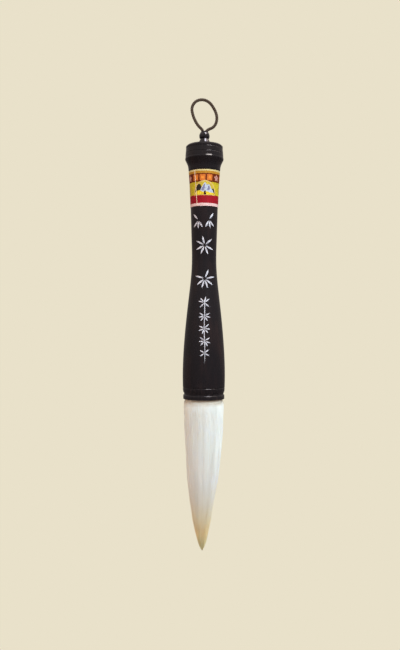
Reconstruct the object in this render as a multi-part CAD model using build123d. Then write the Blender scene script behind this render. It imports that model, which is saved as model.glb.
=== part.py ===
from build123d import *
import os
from math import cos, pi, radians, sin, tan

# A large hanging calligraphy brush: lacquered wooden handle, horn mouth ring, goat-hair tuft,
# drum-shaped cap with a horn finial, and a cord loop to hang it by.
#
# The brush hangs along Z with its hair down. The origin is the mouth of the finial, where the
# cord comes out, so level() turns a height above the hair tip into a Z of this frame.
# Lengths are millimetres. An outline is a list of (radius, height above the hair tip).

# ---- overall ----
BRUSH_LENGTH = 255.0      # hair tip to the mouth of the finial
HAIR_OUT = 92.0           # hair that shows below the mouth ring

# ---- hair ----
MOUTH_R = 11.0            # bore of the ring and of the socket behind it
CORE_R = 6.0              # inner bundle of stiffer hair
BEND_HEIGHT = 68.0        # centre that the tuft bends about
NOSE_R = 10.6             # round end of the fixed hair, under the moving hair's seat
SEAT_GAP = 0.3            # clearance between the nose and its seat
NOTCH = 5.0               # how far below the bend centre the moving hair begins
HAIR_OUTLINE = [(1.6, 2.6), (3.4, 9.4), (6.2, 24.0), (8.3, 38.7), (9.7, 53.4), (10.45, 63.0)]
CORE_TIP = 9.0            # height at which the core comes to its point

# ---- hair root, inside the socket ----
SOCKET_DEPTH = 26.0
PLUG_THICK = 4.0          # hardened resin that seals the roots
THREAD_R = 0.4
BINDING_TURNS = 4
MANTLE_BINDING_HEIGHT = 106.0
CORE_BINDING_HEIGHT = 98.0

# ---- mouth ring ----
LIP_R = 11.7              # lower edge of the ring
BEAD_R = 12.55
BEAD_LAND = (92.5, 93.6)  # straight part of the bead, where a protective cap fits
GROOVE_R = 12.0
GROOVE = (94.8, 95.6)
BAND_SWELL = [(12.45, 96.4), (12.7, 97.6), (12.78, 98.7)]
RING_TOP = 99.1
JOINT_R = 0.4             # rounding on both sides of the line where ring and handle meet
SPIGOT_R = 11.75          # handle's thin lower end, inside the ring
SPIGOT_FOOT = 95.0

# ---- handle ----
HANDLE_TOP = 231.0
HANDLE_OUTLINE = [(12.78, 99.5), (12.88, 107.0), (11.95, 127.8), (9.5, 152.2), (7.45, 175.4),
                  (7.6, 186.0), (8.05, 201.0), (8.98, 224.8), (9.48, 231.0)]
TENON_R = 5.0
TENON_LENGTH = 6.5

# ---- paper label ----
LABEL_SPAN = (208.4, 230.1)
LABEL_THICK = 0.15

# ---- cap ----
CAP_TOP = 246.35
CAP_FLARE = [(10.1, 234.0), (11.3, 236.7), (11.66, 237.5)]
CAP_LIP = (11.72, 238.1)  # widest line of the cap
CAP_STEP = (11.57, 238.7)
CAP_WALL = [(11.52, 240.0), (11.43, 241.3), (11.3, 242.6), (11.22, 243.8), (11.25, 245.45)]
CAP_CHAMFER = 0.95        # width of the bevelled top edge
CAP_LINES = [(11.66, 237.5), (11.43, 241.2), (11.22, 244.2)]    # turned lines round the cap
CAP_LINE_R = 0.3
CAP_LINE_DEPTH = 0.13
KNOT_ROOM_R = 4.4
KNOT_ROOM_TOP = 243.2

# ---- finial and cord ----
PEG_R = 2.45
FINIAL_FOOT = [(3.5, CAP_TOP), (3.45, 248.3)]
NECK = (2.45, 250.5)      # narrow end of the cone above the foot
FINIAL_BEAD_R = 3.15
FINIAL_BEAD = (251.9, 252.7)    # straight part of the bead
FINIAL_CROWN = (2.62, 254.05)
FINIAL_TOP_R = 1.9
CORD_BORE_R = 1.6
CORD_R = 0.92
KNOT_R = 3.5
KNOT_HALF_HEIGHT = 2.6
TAIL_FOOT = 242.0
# Centre line of the loop, (x, z) of this frame, from the left strand round to the right one.
LOOP_ROUTE = [(-1.1, 1.0), (-3.5, 3.1), (-5.4, 5.9), (-7.1, 9.8), (-8.0, 14.5), (-5.8, 18.4),
              (-1.4, 19.8), (3.0, 18.1), (6.2, 13.5), (7.7, 9.3), (7.3, 5.2), (5.3, 2.3),
              (1.4, 1.0)]

# ---- carved bamboo sprays on the handle's front ----
CARVE_DEPTH = 0.4
FILL_SINK = 0.08          # white fill stays this far below the lacquer
STEM = [(0.3, 113.4), (0.5, 124.0), (0.1, 135.0), (0.4, 146.0), (0.2, 152.0)]
STEM_WIDTH = 0.5
# Each spray: (x, height) of its stalk, leaf length, leaf width, and each leaf's direction in
# degrees, clockwise from straight up.
SPRAYS = [
    ((-3.5, 199.9), 4.5, 0.95, [-38, 150, 182, 214]),
    ((2.9, 200.2), 4.5, 0.95, [32, 144, 172, 206]),
    ((0.3, 184.9), 5.3, 1.05, [-62, -14, 48, 118, 160, 205, 243]),
    ((0.4, 164.8), 5.4, 1.05, [-72, 22, 78, 128, 163, 198, 232]),
    ((0.2, 150.4), 3.5, 0.8, [-76, -40, 14, 52, 132, 222]),
    ((0.2, 142.4), 3.3, 0.8, [-104, -58, 62, 104, 146, 218]),
    ((0.2, 135.0), 3.3, 0.8, [-66, 46, 98, 142, 202, 248]),
    ((0.4, 127.6), 3.3, 0.8, [-98, -52, 58, 112, 150, 222]),
    ((0.4, 120.4), 3.0, 0.75, [-60, 48, 122, 236]),
]


def level(height):
    """Z of a height above the hair tip."""
    return height - BRUSH_LENGTH


def corner(point):
    """A point of an outline, on the plane that is turned about the axis."""
    radius, height = point
    return (radius, 0, level(height))


def arc(centre, radius, start, end):
    """Round stretch of an outline between two angles, in degrees from the outward direction."""
    angles = [radians(a) for a in (start, (start + end) / 2, end)]
    return ThreePointArc(*[corner((centre[0] + radius * cos(a), centre[1] + radius * sin(a)))
                           for a in angles])


def turned(edges):
    """Solid of revolution of a closed outline."""
    return revolve(make_face(edges), Axis.Z)


def turned_polygon(points):
    """Solid of revolution of straight edges."""
    return turned(Polyline(*[corner(p) for p in points], close=True))


def rod(radius, low, high):
    """Round bar on the axis between two heights."""
    return turned_polygon([(0, low), (radius, low), (radius, high), (0, high)])


def ball(radius, height):
    """Ball on the axis."""
    return Pos(0, 0, level(height)) * Sphere(radius)


def thread_band(radius, height):
    """Neighbouring turns of binding thread."""
    turns = Part()
    for i in range(BINDING_TURNS):
        turns += Pos(0, 0, level(height + i * 2.1 * THREAD_R)) * Torus(radius, THREAD_R)
    return turns


# ---------------------------------------------------------------- handle

def handle_body(inset=0.0):
    """The handle's outer form, filled in; inset makes it thinner all round."""
    side = Spline(*[corner((r - inset, h)) for r, h in HANDLE_OUTLINE])
    foot_r = HANDLE_OUTLINE[0][0] - inset
    rounding = arc((foot_r - JOINT_R, RING_TOP + JOINT_R), JOINT_R, -90, 0)
    ends = Polyline(side @ 1, corner((0, HANDLE_TOP)), corner((0, RING_TOP)), rounding @ 0)
    return turned([side, rounding, ends])


def leaf(stalk, length, width, direction):
    """Flat leaf that points away from its stalk, bounded by two arcs."""
    along = Vector(sin(radians(direction)), cos(radians(direction)))
    across = along.rotate(Axis.Z, 90) * (width / 2)
    start = Vector(*stalk) + along * (0.12 * length)
    end = start + along * length
    middle = (start + end) * 0.5
    return make_face([ThreePointArc(start, middle + across, end),
                      ThreePointArc(end, middle - across, start)])


def stem():
    """Slim stem that tapers to its lower end."""
    left = [(x - STEM_WIDTH / 2, h) for x, h in STEM]
    right = [(x + STEM_WIDTH / 2, h) for x, h in reversed(STEM)]
    left[0] = right[-1] = STEM[0]
    return make_face([Spline(*left), Line(left[-1], right[0]), Spline(*right)])


def sprig_cutter():
    """The sprays, drawn on the front plane and driven back to the axis."""
    shapes = [stem()]
    for stalk, length, width, directions in SPRAYS:
        shapes += [leaf(stalk, length, width, direction) for direction in directions]
    front = Plane(origin=(0, 0, level(0)), x_dir=(1, 0, 0), z_dir=(0, -1, 0))
    return Part() + [extrude(front * shape, amount=2 * BEAD_R) for shape in shapes]


def handle_shaft(carving):
    """Turned handle: spigot and hair socket below, tenon above, carving cut into its skin."""
    floor = HAIR_OUT + SOCKET_DEPTH
    shape = handle_body()
    shape += rod(SPIGOT_R, SPIGOT_FOOT, RING_TOP)
    shape += rod(TENON_R, HANDLE_TOP, HANDLE_TOP + TENON_LENGTH)
    shape -= rod(MOUTH_R, SPIGOT_FOOT, floor)
    return shape - (carving - handle_body(CARVE_DEPTH))


def carved_sprig_fill(carving):
    """White pigment on the floor of the carving, a little below the lacquer."""
    return carving & (handle_body(FILL_SINK) - handle_body(CARVE_DEPTH))


def paper_label():
    """Sleeve of printed paper round the top of the handle."""
    low, high = LABEL_SPAN
    band = rod(2 * BEAD_R, low, high)
    return (handle_body(-LABEL_THICK) - handle_body()) & band


def ferrule_ring():
    """Horn ring round the mouth: rounded bead, groove, and a band that covers the spigot."""
    land_low, land_high = BEAD_LAND
    groove_low, groove_high = GROOVE
    lip, land_top = (LIP_R, HAIR_OUT), (BEAD_R, land_high)
    outward, up, inward = (1, 0, 0), (0, 0, 1), (-1, 0, 0)
    under = Spline(corner(lip), corner((BEAD_R, land_low)), tangents=[outward, up])
    over = Spline(corner(land_top), corner((GROOVE_R, groove_low)), tangents=[up, inward])
    band = Spline(corner((GROOVE_R, groove_high)), *[corner(p) for p in BAND_SWELL])
    rounding = arc((BAND_SWELL[-1][0] - JOINT_R, BAND_SWELL[-1][1]), JOINT_R, 0, 90)
    inside = Polyline(rounding @ 1, corner((SPIGOT_R, RING_TOP)), corner((SPIGOT_R, SPIGOT_FOOT)),
                      corner((MOUTH_R, SPIGOT_FOOT)), corner((MOUTH_R, HAIR_OUT)), under @ 0)
    return turned([under, Line(under @ 1, over @ 0), over, Line(over @ 1, band @ 0), band,
                   rounding, inside])


# ---------------------------------------------------------------- cap, finial and cord

def top_cap():
    """Drum on the handle's tenon, with a room for the knot and a hole for the finial's peg."""
    tenon_top = HANDLE_TOP + TENON_LENGTH
    neck = (HANDLE_OUTLINE[-1][0] + LABEL_THICK, HANDLE_TOP)
    flare = Spline(*[corner(p) for p in [neck, *CAP_FLARE, CAP_LIP]],
                   tangents=[(0.1, 0, 1), (0, 0, 1)])
    step = Line(flare @ 1, corner(CAP_STEP))
    wall = Spline(step @ 1, *[corner(p) for p in CAP_WALL])
    rest = Polyline(wall @ 1, corner((CAP_WALL[-1][0] - CAP_CHAMFER, CAP_TOP)),
                    corner((0, CAP_TOP)), corner((0, HANDLE_TOP)), flare @ 0)
    shape = turned([flare, step, wall, rest])
    for wall_r, height in CAP_LINES:
        line = Torus(wall_r + CAP_LINE_R - CAP_LINE_DEPTH, CAP_LINE_R)
        shape -= Pos(0, 0, level(height)) * line
    shape -= rod(TENON_R, HANDLE_TOP, tenon_top)
    shape -= rod(KNOT_ROOM_R, tenon_top, KNOT_ROOM_TOP)
    return shape - rod(PEG_R, KNOT_ROOM_TOP, CAP_TOP)


def hanging_finial():
    """Horn knob: peg in the cap, foot with a cone, slim neck, bead, and the cord's bore."""
    bead_low, bead_high = FINIAL_BEAD
    foot, collar = FINIAL_FOOT
    under = Spline(corner(NECK), corner((FINIAL_BEAD_R, bead_low)), tangents=[(1, 0, 0.4), (0, 0, 1)])
    over = ThreePointArc(corner((FINIAL_BEAD_R, bead_high)), corner(FINIAL_CROWN),
                         corner((FINIAL_TOP_R, BRUSH_LENGTH)))
    rest = Polyline(over @ 1, corner((CORD_BORE_R, BRUSH_LENGTH)),
                    corner((CORD_BORE_R, KNOT_ROOM_TOP)), corner((PEG_R, KNOT_ROOM_TOP)),
                    corner((PEG_R, CAP_TOP)), corner(foot), corner(collar), under @ 0)
    return turned([under, Line(under @ 1, over @ 0), over, rest])


def cord_tails():
    """The cord's two strands, pressed into half-rounds that fill the finial's bore."""
    both = rod(CORD_BORE_R, TAIL_FOOT, BRUSH_LENGTH)
    return split(both, Plane.YZ, keep=Keep.BOTH)


def loop_knot(tails):
    """Stopper knot under the finial's peg, dented where the strands enter it."""
    middle = KNOT_ROOM_TOP - KNOT_HALF_HEIGHT
    crown = corner((0, middle + KNOT_HALF_HEIGHT))
    foot = corner((0, middle - KNOT_HALF_HEIGHT))
    bulge = Spline(crown, corner((KNOT_R, middle)), foot, tangents=[(1, 0, 0), (-1, 0, 0)])
    return turned([bulge, Line(foot, crown)]) - rod(CORD_BORE_R, TAIL_FOOT, KNOT_ROOM_TOP)


def loop_radii(points):
    """Largest radius that the two runs beside each corner leave room for."""
    radii = []
    for before, here, after in zip(points, points[1:], points[2:]):
        turn = (here - before).get_angle(after - here)
        shorter = min((here - before).length, (after - here).length)
        radii.append(0.45 * shorter / tan(radians(turn) / 2))
    return radii


def hanging_loop():
    """Plain tube along the loop, with round ends that turn on the finial's mouth."""
    points = [Vector(x, 0, z) for x, z in LOOP_ROUTE]
    radii = loop_radii(points)
    path = FilletPolyline(*points, radius=radii)
    section = Plane(origin=path @ 0, z_dir=path % 0) * Circle(CORD_R)
    tube = sweep(section, path=path)
    print("loop radii:", [round(r, 1) for r in radii])
    print(f"loop length {path.length:.1f}, tube volume {tube.volume:.1f},"
          f" section times length {pi * CORD_R ** 2 * path.length:.1f}")
    for end in (points[0], points[-1]):
        tube += Pos(end) * Sphere(CORD_R)
    return tube


# ---------------------------------------------------------------- hair

def fixed_hair():
    """Hair from the plug down to the round nose, still undivided."""
    top = HAIR_OUT + SOCKET_DEPTH - PLUG_THICK
    swell = Spline(corner((MOUTH_R, HAIR_OUT)), corner((11.9, HAIR_OUT - 2.0)),
                   corner((11.55, 83.0)), corner((NOSE_R + 0.45, BEND_HEIGHT + 7.5)),
                   corner((NOSE_R, BEND_HEIGHT + 4.0)))
    nose = arc((0, BEND_HEIGHT), NOSE_R, 0, -90)
    outline = [swell,
               Line(swell @ 1, nose @ 0),
               nose,
               Polyline(nose @ 1, corner((0, top)), corner((MOUTH_R, top)), swell @ 0)]
    return turned(outline)


def moving_hair():
    """Hair from its hollow seat down to the writing tip, still undivided."""
    side = Spline(corner((0, 0)), *[corner(p) for p in HAIR_OUTLINE],
                  tangents=[(1, 0, 0.25), (0.12, 0, 1)])
    top = BEND_HEIGHT - NOTCH
    rest = Polyline(side @ 1, corner((0, top)), side @ 0)
    return turned([side, rest]) - ball(NOSE_R + SEAT_GAP, BEND_HEIGHT)


def core_form():
    """The core's outer form over the whole length of the hair."""
    top = HAIR_OUT + SOCKET_DEPTH - PLUG_THICK
    taper = Spline(corner((0, CORE_TIP)), corner((3.2, 24.0)), corner((CORE_R, 50.0)),
                   tangents=[(0.35, 0, 1), (0, 0, 1)])
    rest = Polyline(taper @ 1, corner((CORE_R, top)), corner((0, top)), taper @ 0)
    return turned([taper, rest])


def resin_plug():
    """Hardened resin between the ends of the roots and the socket's floor."""
    floor = HAIR_OUT + SOCKET_DEPTH
    return rod(MOUTH_R, floor - PLUG_THICK, floor)


def main():
    carving = sprig_cutter()
    tails = cord_tails()
    root, tuft, core = fixed_hair(), moving_hair(), core_form()
    mantle_binding = thread_band(MOUTH_R - 1.5 * THREAD_R, MANTLE_BINDING_HEIGHT)
    core_binding = thread_band(CORE_R, CORE_BINDING_HEIGHT)
    nodes = {
        "handle_shaft": handle_shaft(carving),
        "carved_sprig_fill": carved_sprig_fill(carving),
        "paper_label": paper_label(),
        "ferrule_ring": ferrule_ring(),
        "top_cap": top_cap(),
        "hanging_finial": hanging_finial(),
        "cord_tails": tails,
        "loop_knot": loop_knot(tails),
        "hanging_loop": hanging_loop(),
        "resin_plug": resin_plug(),
        "mantle_binding": mantle_binding,
        "core_binding": core_binding,
        "mantle_root": root - core - mantle_binding - core_binding,
        "core_root": (root & core) - core_binding,
        "mantle_hair": tuft - core,
        "core_hair": tuft & core,
    }
    os.makedirs("parts", exist_ok=True)
    for name, shape in nodes.items():
        export_step(shape, f"parts/{name}.step")


main()
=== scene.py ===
import math

import bmesh
import bpy
import numpy as np
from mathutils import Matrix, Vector


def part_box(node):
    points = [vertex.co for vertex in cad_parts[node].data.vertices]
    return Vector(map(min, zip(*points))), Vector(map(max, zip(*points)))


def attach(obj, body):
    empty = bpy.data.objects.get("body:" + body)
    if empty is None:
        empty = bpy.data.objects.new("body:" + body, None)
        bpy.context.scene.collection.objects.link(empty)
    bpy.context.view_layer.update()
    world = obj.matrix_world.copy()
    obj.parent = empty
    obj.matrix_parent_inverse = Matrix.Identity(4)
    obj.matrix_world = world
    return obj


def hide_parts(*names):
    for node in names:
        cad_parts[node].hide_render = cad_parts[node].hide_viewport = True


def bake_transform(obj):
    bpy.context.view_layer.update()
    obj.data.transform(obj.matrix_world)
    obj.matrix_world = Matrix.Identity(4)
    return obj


# The looks of a hanging calligraphy brush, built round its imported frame.
# The axes are the frame's own: the origin is the mouth of the finial, -Y is the front, and the hair
# hangs down. The scene is in metres, and MM is the millimetre that small sizes are given in.

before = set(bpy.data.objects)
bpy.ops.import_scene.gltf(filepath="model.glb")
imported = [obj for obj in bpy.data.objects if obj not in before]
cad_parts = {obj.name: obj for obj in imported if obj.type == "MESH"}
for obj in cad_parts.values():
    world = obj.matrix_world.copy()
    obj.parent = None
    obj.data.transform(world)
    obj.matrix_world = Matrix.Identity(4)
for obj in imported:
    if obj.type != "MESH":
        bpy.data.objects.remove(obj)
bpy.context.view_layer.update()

MM = 0.001
GOLDEN_ANGLE = math.pi * (3 - math.sqrt(5))

TIP_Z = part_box("mantle_hair")[0].z      # the hair's point
LIP_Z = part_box("ferrule_ring")[0].z     # the ring's lower edge
ROOT_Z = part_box("mantle_root")[1].z     # the hair's root, deep in the handle
HAIR_OUT = (LIP_Z - TIP_Z) / MM         # length of the hair that shows, millimetres


# ------------------------------------------------------------------ shaders

def srgb(code):
    """Linear colour of a hex code."""
    parts = [int(code[i:i + 2], 16) / 255 for i in (0, 2, 4)]
    return tuple(p / 12.92 if p <= 0.04045 else ((p + 0.055) / 1.055) ** 2.4 for p in parts) + (1,)


def add_node(tree, kind, sockets=None, **settings):
    """Adds a shader node. Each socket gets a value, or is joined to another node's output."""
    node = tree.nodes.new("ShaderNode" + kind)
    for key, value in settings.items():
        setattr(node, key, value)
    for key, value in (sockets or {}).items():
        if hasattr(value, "is_output"):
            tree.links.new(value, node.inputs[key])
        else:
            node.inputs[key].default_value = value
    return node


class Shader:
    """A material's node tree, with short ways to add and join its nodes."""

    def __init__(self, name, **sockets):
        self.material = bpy.data.materials.new(name)
        self.material.use_nodes = True
        self.tree = self.material.node_tree
        self.surface = self.tree.nodes["Principled BSDF"]
        for socket, value in sockets.items():
            self.surface.inputs[socket.replace("_", " ")].default_value = value

    def add(self, kind, sockets=None, **settings):
        return add_node(self.tree, kind, sockets, **settings)

    def link(self, output, socket):
        """Joins an output to the surface."""
        self.tree.links.new(output, self.surface.inputs[socket])

    def place(self, stretch):
        """Position on the piece, stretched."""
        where = self.add("TexCoord").outputs["Object"]
        return self.add("Mapping", {"Vector": where, "Scale": stretch}).outputs["Vector"]

    def noise(self, size_mm, stretch=(1, 1, 1), detail=4.0, roughness=0.55, where=None):
        """Noise whose blotches are about this size, between 0 and 1."""
        where = where or self.place(stretch)
        sockets = {"Vector": where, "Scale": 1 / (size_mm * MM), "Detail": detail,
                   "Roughness": roughness}
        return self.add("TexNoise", sockets).outputs["Fac"]

    def value(self, name):
        """A number that is stored on the mesh."""
        return self.add("Attribute", attribute_name=name).outputs["Fac"]

    def spread(self, factor, low, high, to_low=0.0, to_high=1.0):
        """Stretches a range of factor over another range, clamped."""
        sockets = {"Value": factor, "From Min": low, "From Max": high, "To Min": to_low,
                   "To Max": to_high}
        return self.add("MapRange", sockets).outputs["Result"]

    def times(self, a, b):
        return self.add("Math", {0: a, 1: b}, operation="MULTIPLY").outputs["Value"]

    def mix(self, factor, a, b):
        """Blend of two colours. The Mix node has a set of sockets for each data type, and those
        for colours are 6, 7 and output 2."""
        return self.add("Mix", {0: factor, 6: a, 7: b}, data_type="RGBA").outputs[2]

    def ramp(self, factor, stops):
        """Colour ramp through (position, colour) stops."""
        node = self.add("ValToRGB", {"Fac": factor})
        elements = node.color_ramp.elements
        while len(elements) < len(stops):
            elements.new(0.5)
        for element, (position, colour) in zip(elements, stops):
            element.position = position
            element.color = colour
        return node.outputs["Color"]

    def bump(self, height, depth_mm, strength):
        """Relief of about this depth on the surface."""
        sockets = {"Height": height, "Distance": depth_mm * MM, "Strength": strength}
        self.link(self.add("Bump", sockets).outputs["Normal"], "Normal")


def lacquer(name, black, brown, roughness):
    """Black lacquer over turned wood: the grain shows faintly, and the gloss is uneven."""
    shader = Shader(name, Coat_Weight=0.25, Coat_Roughness=0.1, Specular_IOR_Level=0.4)
    grain = shader.noise(2.6, stretch=(1, 1, 0.09), detail=6, roughness=0.6)
    blotch = shader.noise(14, stretch=(1, 1, 0.5), detail=2)
    streak = shader.spread(shader.times(grain, blotch), 0.20, 0.42)
    shader.link(shader.mix(streak, srgb(black), srgb(brown)), "Base Color")
    smear = shader.noise(5, stretch=(1, 1, 0.35), detail=5)
    shader.link(shader.spread(smear, 0.3, 0.7, roughness - 0.06, roughness + 0.08), "Roughness")
    shader.bump(shader.noise(1.6, stretch=(1, 1, 0.25), detail=3), 0.01, 0.25)
    return shader.material


def horn():
    """Polished black horn with faint lengthwise streaks."""
    shader = Shader("black_horn", Coat_Weight=0.7, Coat_Roughness=0.05, Specular_IOR_Level=0.5)
    streak = shader.noise(1.2, stretch=(1, 1, 0.2), detail=5)
    shader.link(shader.mix(shader.spread(streak, 0.5, 0.75), srgb("151115"), srgb("2A2022")),
                "Base Color")
    shader.link(shader.spread(shader.noise(2.5), 0.3, 0.7, 0.1, 0.2), "Roughness")
    shader.bump(shader.noise(0.5, stretch=(1, 1, 3), detail=2), 0.01, 0.3)
    return shader.material


def pigment():
    """Powdery white paint, thin in places over the black."""
    shader = Shader("white_pigment", Specular_IOR_Level=0.25)
    thin = shader.spread(shader.noise(1.0, detail=6, roughness=0.7), 0.36, 0.6)
    shader.link(shader.mix(thin, srgb("8F8996"), srgb("DEDAE4")), "Base Color")
    shader.link(shader.spread(thin, 0, 1, 0.7, 0.9), "Roughness")
    shader.bump(shader.noise(0.25, detail=5), 0.03, 0.5)
    return shader.material


def ink(name, colour, darker, roughness=0.5, size_mm=1.2):
    """Printed paper: uneven ink over a fine fibre."""
    shader = Shader(name, Specular_IOR_Level=0.2)
    cover = shader.spread(shader.noise(size_mm, detail=6, roughness=0.65), 0.35, 0.68)
    shader.link(shader.mix(cover, srgb(darker), srgb(colour)), "Base Color")
    fibre = shader.noise(0.16, stretch=(1, 1, 0.5), detail=3)
    shader.link(shader.spread(fibre, 0.3, 0.7, roughness - 0.05, roughness + 0.12), "Roughness")
    shader.bump(fibre, 0.012, 0.5)
    return shader.material


def yarn():
    """Waxed brown cord: fibres run along each ply."""
    shader = Shader("brown_cord", Specular_IOR_Level=0.35, Sheen_Weight=0.25,
                    Sheen_Roughness=0.5)
    sockets = {"X": shader.times(shader.value("along"), 0.004),
               "Y": shader.times(shader.value("tone"), 0.02)}
    fibre = shader.noise(1.0, detail=4, where=shader.add("CombineXYZ", sockets).outputs["Vector"])
    shader.link(shader.mix(shader.spread(fibre, 0.3, 0.7), srgb("24150D"), srgb("543E2C")),
                "Base Color")
    shader.link(shader.spread(fibre, 0.3, 0.7, 0.62, 0.78), "Roughness")
    shader.bump(fibre, 0.05, 0.5)
    return shader.material


def goat_hair(name, shade, deep_mm):
    """Goat hair: white in the belly and straw-coloured at the point; just below the ring it is
    painted greyer and browner, as painted shade under the ring's lip.
    shade is how much of the hair's own colour the dullest hairs keep."""
    shader = Shader(name, Specular_IOR_Level=0.3, Sheen_Weight=0.15, Sheen_Roughness=0.4,
                    Subsurface_Weight=0.5, Subsurface_Scale=deep_mm * MM)
    shader.surface.inputs["Subsurface Radius"].default_value = (1.0, 0.85, 0.7)
    along = shader.value("along")
    base = shader.ramp(along, [             # from the point (0) to the ring (1)
        (0.00, srgb("DCD4A6")), (0.05, srgb("E4D4A2")), (0.12, srgb("F4D8A8")),
        (0.20, srgb("ECDCBE")), (0.32, srgb("E8E2DC")), (0.46, srgb("EBEAEC")),
        # The last stops, greyer and browner towards the ring, are painted shade under the ring's
        # lip, not the hair's own colour.
        (0.70, srgb("F1F3F6")), (0.955, srgb("F4F5F6")), (0.978, srgb("E0D8D0")),
        (1.0, srgb("B4A89C"))])
    tone = shader.spread(shader.value("tone"), 0, 1, shade, 1.0)
    shader.link(shader.mix(tone, srgb("D8C6AE"), base), "Base Color")
    shader.link(shader.spread(shader.value("tone"), 0, 1, 0.5, 0.66), "Roughness")
    return shader.material


# ------------------------------------------------------------------ mesh helpers

def smooth_curve(points):
    """A function through (x, y) points, with a smooth slope at each of them."""
    x, y = (np.array(c, float) for c in zip(*points))
    slope = np.gradient(y, x)

    def at(value):
        value = np.clip(value, x[0], x[-1])
        i = np.clip(np.searchsorted(x, value) - 1, 0, len(x) - 2)
        step = x[i + 1] - x[i]
        t = (value - x[i]) / step
        return ((1 + 2 * t) * (1 - t) ** 2 * y[i] + t * (1 - t) ** 2 * step * slope[i]
                + t * t * (3 - 2 * t) * y[i + 1] + t * t * (t - 1) * step * slope[i + 1])

    return at


def add_piece(name, mesh, material):
    """Puts a mesh in the scene."""
    mesh.materials.append(material)
    piece = bpy.data.objects.new(name, mesh)
    bpy.context.scene.collection.objects.link(piece)
    return piece


def mesh_piece(name, verts, faces, material):
    """Smooth piece from vertices in metres."""
    mesh = bpy.data.meshes.new(name)
    mesh.from_pydata([tuple(v) for v in verts], [], [tuple(f) for f in faces])
    mesh.update()
    mesh.shade_smooth()
    return add_piece(name, mesh, material)


def store(piece, name, values):
    """Keeps one number for each vertex, for the piece's material."""
    attribute = piece.data.attributes.new(name, "FLOAT", "POINT")
    attribute.data.foreach_set("value", np.asarray(values, np.float32))


def tube_faces(rings, sides, first=0):
    """Faces of a closed tube: rings of vertices, then one vertex for each of its two ends."""
    faces = []
    for i in range(rings - 1):
        for k in range(sides):
            a, b = first + i * sides + k, first + i * sides + (k + 1) % sides
            faces.append((a, b, b + sides, a + sides))
    last = first + (rings - 1) * sides
    low, high = last + sides, last + sides + 1
    for k in range(sides):
        faces.append((low, first + (k + 1) % sides, first + k))
        faces.append((high, last + k, last + (k + 1) % sides))
    return faces


def directions(line):
    """Unit vector along a line of points, at each of them."""
    along = np.gradient(line, axis=0)
    return along / np.linalg.norm(along, axis=1)[:, None]


# ------------------------------------------------------------------ hair

# All lengths here are millimetres, and heights are above the hair's point.
# Radius of the tuft, by height.
tuft_radius = smooth_curve([
    (0.0, 0.35), (2.1, 1.3), (5.8, 2.5), (9.4, 3.4), (16.8, 5.05), (24.0, 6.2), (31.4, 7.5),
    (38.7, 8.55), (46.0, 9.4), (53.4, 10.05), (60.7, 10.65), (68.0, 11.2), (75.0, 11.55),
    (82.7, 11.8), (88.5, 11.95), (90.6, 11.75), (91.8, 11.0), (93.0, 10.8), (114.0, 10.8)])
# The tuft hangs in a slight curve: how far its middle is to the right, by height.
tuft_centre = smooth_curve([
    (0, -0.8), (6, -0.9), (12, -1.05), (24, -1.1), (36, -0.8), (48, -0.45), (60, -0.1),
    (74, 0.1), (86, 0), (93, 0), (115, 0)])

LOCK_RELIEF = 0.16            # how far locks stand out
HAIR_RELIEF = 0.07            # how far the finer grooves do
RELIEF_FADE = 14              # the relief grows over this length below the ring
RELIEF_THIN = 22              # and shrinks again below this height
BODY_SIDES = 360
BODY_SUNK = 0.12              # the body lies this far under the outline, and the hairs fill it

HAIR_COUNT = 1100             # in each of the two coats
HAIR_POINTS = 22
HAIR_THICK = (0.06, 0.1)      # radius at the root
HAIR_START = HAIR_OUT + 1.2   # the hairs start inside the ring
HAIR_SWAY = 0.0035            # slow wave round the tuft, in turns
HAIR_DRIFT = 0.0012           # how far it strays sideways by its end, in turns
HAIR_DEPTH = 0.07             # how far it stands over or under its lock
HAIR_LIFT = 0.16              # how far its end curls outward
HAIR_TAPER = 0.72             # share of its thickness that it loses
# Where hairs end: share of the hairs up to this row, lowest end, reach above it, and how strongly
# the ends crowd towards the lowest.
HAIR_ENDS = [(0.62, 0, 5, 1.6), (0.9, 4, 26, 1.3), (1.0, 20, 45, 1)]


def locks(rng, count, knots):
    """Smooth random waves: a value for each direction, changing slowly along the hair."""
    return rng.normal(0, 1, (knots, count))


def lock_value(table, turn, along):
    """Reads locks() at directions (0 to 1) and places along the hair (0 to 1)."""
    knots, count = table.shape
    x, y = np.mod(turn, 1) * count, np.clip(along, 0, 1) * (knots - 1.001)
    i, j = x.astype(int), y.astype(int)
    s, t = x - i, y - j
    s, t = s * s * (3 - 2 * s), t * t * (3 - 2 * t)
    a, b = table[j, i % count], table[j, (i + 1) % count]
    c, d = table[j + 1, i % count], table[j + 1, (i + 1) % count]
    return (a * (1 - s) + b * s) * (1 - t) + (c * (1 - s) + d * s) * t


def tuft_relief(turn, height, tables):
    """How far locks and hairs stand out of the tuft's outline, millimetres."""
    coarse, fine = tables
    free = np.clip((HAIR_OUT + 0.5 - height) / RELIEF_FADE, 0, 1)
    slim = np.clip(height / RELIEF_THIN, 0.12, 1)
    along = height / HAIR_OUT
    return free * slim * (LOCK_RELIEF * lock_value(coarse, turn, along)
                          + HAIR_RELIEF * lock_value(fine, turn, along))


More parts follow.
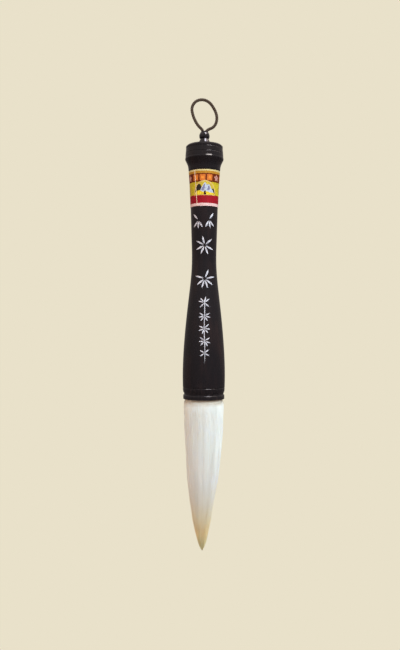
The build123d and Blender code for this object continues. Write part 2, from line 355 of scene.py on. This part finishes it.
def tuft_body(tables, material):
    """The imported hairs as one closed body, grooved along its length."""
    top = (ROOT_Z - TIP_Z) / MM - 0.2
    heights = np.concatenate([np.linspace(0.25, 8, 14), np.linspace(9.2, HAIR_OUT - 4, 62),
                              np.linspace(HAIR_OUT - 3.4, HAIR_OUT + 1, 12),
                              np.linspace(HAIR_OUT + 5, top, 5)])
    turn = (np.arange(BODY_SIDES) / BODY_SIDES)[None, :]
    grid = heights[:, None] + 0 * turn
    turn = turn + 0 * grid
    radius = tuft_radius(grid) - BODY_SUNK + tuft_relief(turn, grid, tables)
    angle = 2 * math.pi * turn
    x = radius * np.cos(angle) + tuft_centre(grid)
    y = radius * np.sin(angle)
    verts = np.stack([x, y, grid], -1).reshape(-1, 3)
    ends = [(tuft_centre(0), 0, 0.05), (0, 0, top)]
    verts = np.concatenate([verts, np.array(ends, float)]) * MM + (0, 0, TIP_Z)
    piece = mesh_piece("hair_tuft", verts, tube_faces(len(heights), BODY_SIDES), material)
    tone = 0.5 + 0.28 * lock_value(tables[1], turn, grid / HAIR_OUT)
    store(piece, "along", np.append(grid.ravel(), [0, top]) / HAIR_OUT)
    store(piece, "tone", np.append(np.clip(tone, 0, 1).ravel(), [0.5, 0.5]))
    return piece


def strand_line(rng, turn, tables):
    """One hair from inside the ring down to its own tip: its centre line, its radius and its
    direction round the tuft. The points crowd towards both ends."""
    share = rng.random()
    lowest, reach, crowd = next(row[1:] for row in HAIR_ENDS if share < row[0])
    end = lowest + rng.random() ** crowd * reach
    t = (1 - np.cos(np.linspace(0, math.pi, HAIR_POINTS))) / 2
    height = HAIR_START - (HAIR_START - end) * t
    sway = HAIR_SWAY * np.sin(t * rng.uniform(2, 7) + rng.uniform(0, 6.3))
    wave = turn + sway + rng.normal(0, HAIR_DRIFT) * t
    depth = rng.normal(0.0, HAIR_DEPTH)
    lift = max(0.0, rng.normal(0.0, HAIR_LIFT)) * np.clip((t - 0.8) / 0.2, 0, 1) ** 2
    radius = tuft_radius(height) + tuft_relief(wave, height, tables) * 0.9
    radius = radius + np.clip(depth, -0.12, 0.14) * np.clip(t * 9, 0.2, 1)
    radius = radius * np.clip(0.55 + height / 5, 0.55, 1) + lift
    angle = 2 * math.pi * wave
    line = np.stack([radius * np.cos(angle) + tuft_centre(height), radius * np.sin(angle),
                     height], -1)
    thick = rng.uniform(*HAIR_THICK) * (1 - HAIR_TAPER * t ** 3)
    return line, thick, angle


def hair_strands(name, tables, material, seed):
    """Single hairs over the tuft, each a closed three-sided taper."""
    rng = np.random.default_rng(seed)
    verts, faces, alongs, tones = [], [], [], []
    for i in range(HAIR_COUNT):
        turn = (i * GOLDEN_ANGLE / (2 * math.pi) + rng.normal(0, 0.001)) % 1
        line, thick, angle = strand_line(rng, turn, tables)
        tangent = directions(line)
        out = np.stack([np.cos(angle), np.sin(angle), 0 * angle], -1)
        side = np.cross(tangent, out)
        out = np.cross(side, tangent)
        first = len(verts)
        ring = [out * (thick * math.cos(2 * math.pi * c / 3))[:, None]
                + side * (thick * math.sin(2 * math.pi * c / 3))[:, None] + line for c in range(3)]
        body = np.stack(ring, 1).reshape(-1, 3)
        verts.extend(body)
        verts.append(line[0] - tangent[0] * 0.1)
        verts.append(line[-1] + tangent[-1] * 0.5)
        faces.extend(tube_faces(HAIR_POINTS, 3, first))
        alongs.extend(np.repeat(line[:, 2], 3) / HAIR_OUT)
        alongs.extend([line[0, 2] / HAIR_OUT, line[-1, 2] / HAIR_OUT])
        tones.extend([np.clip(rng.normal(0.62, 0.24), 0, 1)] * (3 * HAIR_POINTS + 2))
    piece = mesh_piece(name, np.array(verts) * MM + (0, 0, TIP_Z), faces, material)
    store(piece, "along", alongs)
    store(piece, "tone", tones)
    return piece


def build_hair():
    """One body and two coats of single hairs, in place of the four hair nodes."""
    rng = np.random.default_rng(7)
    tables = (locks(rng, 34, 7), locks(rng, 180, 16))
    body = tuft_body(tables, goat_hair("hair_mass", 0.35, 2.5))
    coats = [hair_strands("hair_coat_a", tables, goat_hair("hair_coat", 0.45, 0.05), 11),
             hair_strands("hair_coat_b", tables, goat_hair("hair_coat_light", 0.6, 0.05), 23)]
    for node in ("mantle_hair", "core_hair", "mantle_root", "core_root"):
        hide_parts(node)
    for piece in [body] + coats:
        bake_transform(piece)


build_hair()


# ------------------------------------------------------------------ cord loop

# The loop's route, (x, z) in millimetres: the control points of the frame's own loop, with one more
# at each end, inside the finial's bore.
LOOP_ROUTE = [(-0.8, -0.7), (-1.1, 1.0), (-3.5, 3.1), (-5.4, 5.9), (-7.1, 9.8), (-8.0, 14.5),
              (-5.8, 18.4), (-1.4, 19.8), (3.0, 18.1), (6.2, 13.5), (7.7, 9.3), (7.3, 5.2),
              (5.3, 2.3), (1.4, 1.0), (0.8, -0.7)]
PLIES = 3
PLY_R = 0.51
PLY_OFF = 0.44            # from the cord's middle to a ply's
PLY_TWIST = 3.6           # length of one full turn of the plies
PLY_SIDES = 12
CORD_RINGS = 300
TONE_STEP = 7             # sets the plies apart in the fibres' noise


def cord_line():
    """Points along the loop's smooth line."""
    curve = bpy.data.curves.new("loop_line", "CURVE")
    curve.dimensions = "3D"
    curve.resolution_u = 24
    spline = curve.splines.new("NURBS")
    spline.points.add(len(LOOP_ROUTE) - 1)
    for point, (x, z) in zip(spline.points, LOOP_ROUTE):
        point.co = (x * MM, 0, z * MM, 1)
    spline.order_u = 3
    spline.use_endpoint_u = True
    holder = bpy.data.objects.new("loop_line", curve)
    bpy.context.scene.collection.objects.link(holder)
    bpy.context.view_layer.update()
    line = bpy.data.meshes.new_from_object(holder)
    points = np.array([v.co for v in line.vertices], float)
    bpy.data.objects.remove(holder)
    return points


def evenly_spaced(path, count):
    """Points evenly along a path, lightly smoothed, and how far along it each of them is."""
    step = np.linalg.norm(np.diff(path, axis=0), axis=1)
    reach = np.concatenate([[0], np.cumsum(step)])
    at = np.linspace(0, reach[-1], count)
    line = np.stack([np.interp(at, reach, path[:, k]) for k in range(3)], -1)
    for _ in range(3):
        line[1:-1] = (line[:-2] + 2 * line[1:-1] + line[2:]) / 4
    return line, at


def build_cord():
    """Three plies twisted round the loop's line."""
    path = cord_line()
    line, at = evenly_spaced(path, CORD_RINGS)
    across = np.array([0.0, 1.0, 0.0])
    up = np.cross(directions(line), across)
    angles = 2 * math.pi * np.arange(PLY_SIDES) / PLY_SIDES
    verts, faces, alongs, tones = [], [], [], []
    for ply in range(PLIES):
        phase = 2 * math.pi * (ply / PLIES + at / (PLY_TWIST * MM))
        outward = up * np.cos(phase)[:, None] + across * np.sin(phase)[:, None]
        centre = line + outward * (PLY_OFF * MM)
        side = np.cross(directions(centre), outward)
        first = len(verts)
        ring = (centre[:, None] + outward[:, None] * (np.cos(angles) * PLY_R * MM)[None, :, None]
                + side[:, None] * (np.sin(angles) * PLY_R * MM)[None, :, None])
        verts.extend(ring.reshape(-1, 3))
        verts.extend([centre[0], centre[-1]])
        faces.extend(tube_faces(CORD_RINGS, PLY_SIDES, first))
        alongs.extend(np.repeat(at / MM, PLY_SIDES))
        alongs.extend([0, at[-1] / MM])
        tones.extend(np.tile(ply * TONE_STEP + np.sin(angles), CORD_RINGS))
        tones.extend([0, 0])
    piece = mesh_piece("cord_loop", np.array(verts), faces, yarn())
    store(piece, "along", alongs)
    store(piece, "tone", tones)
    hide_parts("hanging_loop")
    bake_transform(piece)


build_cord()


# ------------------------------------------------------------------ carried-over CAD nodes

def dress(node, material):
    """Gives a carried-over CAD node its material."""
    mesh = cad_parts[node].data
    mesh.materials.clear()
    mesh.materials.append(material)


dress("handle_shaft", lacquer("handle_lacquer", "181418", "281C1D", 0.23))
dress("top_cap", lacquer("cap_lacquer", "191518", "241B1D", 0.14))
dress("carved_sprig_fill", pigment())
dress("ferrule_ring", horn())
dress("hanging_finial", horn())
thread = ink("silk_thread", "D8C8A8", "B8A27C")
dress("mantle_binding", thread)
dress("core_binding", thread)
dress("resin_plug", horn())
dress("cord_tails", yarn())
dress("loop_knot", yarn())


# ------------------------------------------------------------------ printed label

# A place on the label is (turn, height): degrees right of the front, and millimetres above the
# label's foot.
LABEL_LOW, LABEL_HIGH = (corner.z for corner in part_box("paper_label"))
LABEL_TALL = (LABEL_HIGH - LABEL_LOW) / MM
BORDER_TOP = 1.7
FIELD_LOW, FIELD_HIGH = 6.6, 14.3
BAND_HIGH = 19.4
EDGE_LOW = LABEL_TALL - 0.9
WINDOWS = [2.0 + 120 * k for k in (-1, 0, 1)]   # the print repeats round these turns
WINDOW_HALF = 46.0
ARCH_TOP = 15.2
TILES = [-36.5, -9.0, 18.5]
SEAM_TOP, SEAM_FOOT = -38.0, -31.0        # where the paper's end overlaps
SEAM_HALF = 1.2
SEAM_SHORT = 0.05                         # the seam stops this far inside the paper's edges
INK_BACK = -0.02                          # a patch's back is sunk this far into the paper
OUTWARD = 0.5                             # cosine: a face within 60 degrees of straight outward


def node_outline(node):
    """Outer radius of a turned CAD node against Z, from its faces that look outward."""
    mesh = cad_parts[node].data
    outer = {}
    for face in mesh.polygons:
        centre, normal = face.center, face.normal
        if centre.xy.dot(normal.xy) > OUTWARD * centre.xy.length:
            for index in face.vertices:
                co = mesh.vertices[index].co
                z = round(co.z, 6)
                outer[z] = max(outer.get(z, 0), math.hypot(co.x, co.y))
    levels = sorted(outer)
    return levels, [outer[z] for z in levels]


LABEL_LEVELS, LABEL_RADII = node_outline("paper_label")


def on_label(turn, height, lift):
    """Point this many millimetres over a place on the label."""
    z = LABEL_LOW + height * MM
    radius = np.interp(z, LABEL_LEVELS, LABEL_RADII) + lift * MM
    angle = math.radians(turn)
    return Vector((radius * math.sin(angle), -radius * math.cos(angle), z))


def printed(name, shapes, material, lift):
    """Thin closed patches of ink that follow the label, from their outlines."""
    grid = bmesh.new()
    for outline in shapes:
        grid.faces.new([grid.verts.new((turn, 0, height)) for turn, height in outline])
    for axis, step in ((0, 4.0), (2, 1.5)):     # cut up, so that the patch can bend
        low = min(v.co[axis] for v in grid.verts)
        high = max(v.co[axis] for v in grid.verts)
        normal = Vector((axis == 0, 0, axis == 2))
        for i in range(math.ceil(low / step), math.floor(high / step) + 1):
            everything = grid.verts[:] + grid.edges[:] + grid.faces[:]
            bmesh.ops.bisect_plane(grid, geom=everything, dist=1e-5, plane_co=normal * i * step,
                                   plane_no=normal)
    bmesh.ops.recalc_face_normals(grid, faces=grid.faces)
    top = bmesh.ops.extrude_face_region(grid, geom=grid.faces[:])
    raised = {v for v in top["geom"] if isinstance(v, bmesh.types.BMVert)}
    grid.verts.index_update()               # the extrusion leaves its faces in no fixed order
    ordered = sorted(grid.faces, key=lambda face: [v.index for v in face.verts])
    rank = {face: i for i, face in enumerate(ordered)}
    grid.faces.sort(key=rank.get)
    for v in grid.verts:
        turn, _, height = v.co
        v.co = on_label(turn, height, lift if v in raised else INK_BACK)
    bmesh.ops.recalc_face_normals(grid, faces=grid.faces)
    mesh = bpy.data.meshes.new(name)
    grid.to_mesh(mesh)
    grid.free()
    mesh.shade_smooth()
    mesh.set_sharp_from_angle(angle=math.radians(40))
    piece = add_piece(name, mesh, material)
    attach(piece, "handle")


def block(left, right, low, high):
    """Upright rectangle."""
    return [(left, low), (right, low), (right, high), (left, high)]


def arch(half, low, high):
    """Round-topped window in the middle of the print."""
    shoulder = low + (high - low) * 0.15
    steps = [math.pi * i / 22 for i in range(23)]
    return [(-half, low), (half, low)] + [
        (half * math.cos(a), shoulder + (high - shoulder) * math.sin(a)) for a in steps]


def flower(turn, height, wide, tall):
    """Round flower with five shallow petals."""
    shape = []
    for i in range(40):
        a = 2 * math.pi * i / 40
        reach = 0.8 + 0.2 * math.sin(5 * a)
        shape.append((turn + wide * reach * math.cos(a), height + tall * reach * math.sin(a)))
    return shape


def build_label():
    """The paper and its print. Each layer of ink stands prouder than those that it covers."""
    dress("paper_label", ink("label_gold", "C08A2E", "A87020", 0.42))

    def band(name, low, high, material):
        """Ink all the way round."""
        printed(name, [block(a, a + 60, low, high) for a in range(-180, 180, 60)], material, 0.025)

    def repeated(name, shapes, material, lift):
        """Ink in each repeat of the print; turns are from the repeat's own middle."""
        printed(name, [[(w + t, h) for t, h in shape] for w in WINDOWS for shape in shapes],
                material, lift)

    band("label_foot_border", 0.0, BORDER_TOP, ink("label_pink", "E6C4C4", "D2AAA8"))
    band("label_crimson", BORDER_TOP, FIELD_LOW, ink("label_crimson", "A8081E", "82081A"))
    band("label_yellow", FIELD_LOW, FIELD_HIGH, ink("label_yellow", "CDBC24", "AE921C"))
    band("label_brown", FIELD_HIGH, BAND_HIGH, ink("label_brown", "7A2A02", "541C02"))
    band("label_top_edge", EDGE_LOW, LABEL_TALL, ink("label_cream", "D6C48E", "C4AE74"))
    row = (FIELD_HIGH + BAND_HIGH) / 2
    repeated("label_tiles", [block(t - 10.5, t + 10.5, row - 1.7, row + 1.9) for t in TILES],
             ink("label_orange", "D87430", "C06426"), 0.035)
    repeated("label_tile_marks", [block(t - 4.5, t + 4.5, row - 0.7, row + 0.9) for t in TILES],
             ink("label_amber", "EC9038", "DE822A"), 0.05)
    repeated("label_rosettes", [flower(50, row, 12.5, 2.0)],
             ink("label_rose", "C89488", "A86A64", size_mm=0.8), 0.035)
    repeated("label_arches", [arch(WINDOW_HALF, FIELD_LOW - 0.3, ARCH_TOP)],
             ink("label_arch_gold", "D8B878", "C69C56"), 0.04)
    repeated("label_skies", [arch(WINDOW_HALF - 4.5, FIELD_LOW, ARCH_TOP - 0.7)],
             ink("label_sky", "C8B040", "B0942C"), 0.055)
    repeated("label_woods", [[(-42, 7.4), (-10, 7.4), (-12, 10.4), (-17, 12.6), (-24, 13.2),
                              (-32, 12.0), (-39, 9.8)],
                             [(22, 7.4), (42, 7.4), (40, 9.2), (35, 10.6), (28, 10.0)]],
             ink("label_dusk", "382E28", "201A17"), 0.065)
    repeated("label_peaks", [[(-24, 7.6), (38, 7.6), (32, 9.2), (25, 10.7), (19, 12.4),
                              (14, 12.9), (8, 12.4), (1, 14.0), (-6, 12.8), (-12, 11.2),
                              (-18, 9.4)]],
             ink("label_snow", "C6CCD6", "A0A4BE", size_mm=0.8), 0.075)
    repeated("label_shadows", [[(-13, 9.4), (-4, 8.8), (0, 11.2), (-1, 13.3), (-5, 12.4),
                                (-9, 11.2)],
                               [(9, 9.6), (16, 9.0), (20, 10.6), (17, 12.2), (12, 11.6)]],
             ink("label_violet", "88849E", "6C6890", size_mm=0.6), 0.085)
    repeated("label_fields", [[(-41, 6.7), (36, 6.7), (40, 7.9), (20, 8.0), (6, 8.7), (-8, 8.3),
                               (-22, 9.3), (-34, 9.0), (-41, 8.0)]],
             ink("label_field", "E8CE34", "CCA628"), 0.095)
    repeated("label_ridge", [[(-5, 6.7), (6, 6.7), (3, 8.6), (0, 9.4), (-3, 8.5)]],
             ink("label_dark_red", "4A0F12", "2C0A0C"), 0.105)
    low, high = SEAM_SHORT, LABEL_TALL - SEAM_SHORT
    printed("label_seam", [[(SEAM_FOOT - SEAM_HALF, low), (SEAM_FOOT + SEAM_HALF, low),
                            (SEAM_TOP + SEAM_HALF, high), (SEAM_TOP - SEAM_HALF, high)]],
            ink("label_seam_edge", "F0DCC4", "DDB8A0"), 0.12)


build_label()


# ------------------------------------------------------------------ stage, light and camera

FLOOR_R = 0.55
FLOOR_Z = -0.6


def build_stage():
    """Plain pale floor, well below the hanging brush. The gloss doesn't mirror it."""
    mesh = bpy.data.meshes.new("floor")
    grid = bmesh.new()
    bmesh.ops.create_circle(grid, cap_ends=True, segments=96, radius=FLOOR_R)
    grid.to_mesh(mesh)
    grid.free()
    shader = Shader("floor", Roughness=0.9)
    shader.link(shader.mix(shader.noise(60, detail=2), srgb("E6DDC6"), srgb("EBE4D0")),
                "Base Color")
    floor = add_piece("floor", mesh, shader.material)
    floor.location = (0, 0, FLOOR_Z)
    floor.visible_glossy = False


SURROUND = "E9E1CA"                   # as the camera sees it
AMBIENT = (0.64, 0.55, 0.47, 1)       # as it lights the brush
MIRRORED = "EADED8"                   # as the gloss mirrors it
MIRRORED_LOW, MIRRORED_HIGH = 0.08, 0.5


def build_world():
    """Plain beige surround. It gives a warm diffuse light; mirrored, it is dark below, dim at eye
    level and brighter overhead, as a studio is."""
    world = bpy.data.worlds.new("surround")
    bpy.context.scene.world = world
    world.use_nodes = True
    tree = world.node_tree

    def glow(colour, strength):
        sockets = {"Color": colour, "Strength": strength}
        return add_node(tree, "Background", sockets).outputs["Background"]

    def choose(factor, no, yes):
        return add_node(tree, "MixShader", {0: factor, 1: no, 2: yes}).outputs["Shader"]

    where = add_node(tree, "TexCoord").outputs["Generated"]
    height = add_node(tree, "SeparateXYZ", {"Vector": where}).outputs["Z"]
    sockets = {"Value": height, "From Min": -0.4, "From Max": 0.8, "To Min": MIRRORED_LOW,
               "To Max": MIRRORED_HIGH}
    rise = add_node(tree, "MapRange", sockets, interpolation_type="SMOOTHSTEP").outputs["Result"]
    path = add_node(tree, "LightPath").outputs
    light = choose(path["Is Glossy Ray"], glow(AMBIENT, 1.0), glow(srgb(MIRRORED), rise))
    seen = choose(path["Is Camera Ray"], light, glow(srgb(SURROUND), 1.0))
    tree.links.new(seen, tree.nodes["World Output"].inputs["Surface"])


LAMP_AWAY = 1.1                       # from the middle of the brush
LAMP_AIM = Vector((0, 0, -0.12))      # the middle of the brush
# Name, degrees right of the camera, degrees up, width, height, watts, colour, and use: a lamp
# either lights the brush or is mirrored in its gloss, so that each can be set alone.
LAMPS = [
    ("key", 34, 44, 0.75, 0.75, 15.7, "D8F3FD", "light"),
    ("fill", -40, -20, 0.88, 0.88, 2.4, "FFE2CC", "light"),
    ("softbox", 33, 45, 0.5, 0.22, 5.5, "FFF6F2", "gloss"),
    ("high_softbox", 38, 63, 0.42, 0.26, 4, "F6F2FF", "gloss"),
    ("side_softbox", 98, 55, 0.7, 0.18, 1.4, "FFE8DE", "gloss"),
]


def soft_light(name, azimuth, elevation, wide, tall, power, colour, use):
    """Flat lamp that faces the middle of the brush."""
    data = bpy.data.lights.new(name, "AREA")
    data.shape = "RECTANGLE"
    data.size, data.size_y = wide, tall
    data.energy = power
    data.color = srgb(colour)[:3]
    lamp = bpy.data.objects.new(name, data)
    a, e = math.radians(azimuth), math.radians(elevation)
    away = Vector((math.sin(a) * math.cos(e), -math.cos(a) * math.cos(e), math.sin(e)))
    lamp.location = LAMP_AIM + away * LAMP_AWAY
    lamp.rotation_euler = away.to_track_quat("Z", "Y").to_euler()
    lamp.visible_glossy = use == "gloss"
    lamp.visible_diffuse = use == "light"
    bpy.context.scene.collection.objects.link(lamp)


CAMERA_AWAY = 0.43        # from the brush's axis
CAMERA_X = -2.4 * MM
CAMERA_Z = LIP_Z + 45 * MM
CAMERA_ROLL = -0.15       # degrees
VIEW_TALL = 0.3965        # height of the picture at the axis
SENSOR = 36.0


def build_camera():
    """Level camera in front of the brush, a little to the left."""
    data = bpy.data.cameras.new("camera")
    data.sensor_width = SENSOR
    data.lens = SENSOR * CAMERA_AWAY / VIEW_TALL
    camera = bpy.data.objects.new("camera", data)
    camera.location = (CAMERA_X, -CAMERA_AWAY, CAMERA_Z)
    camera.rotation_euler = (math.radians(90), math.radians(CAMERA_ROLL), 0)
    bpy.context.scene.collection.objects.link(camera)
    bpy.context.scene.camera = camera


build_stage()
build_world()
for lamp_row in LAMPS:
    soft_light(*lamp_row)
build_camera()
bpy.context.scene.view_settings.view_transform = "Standard"
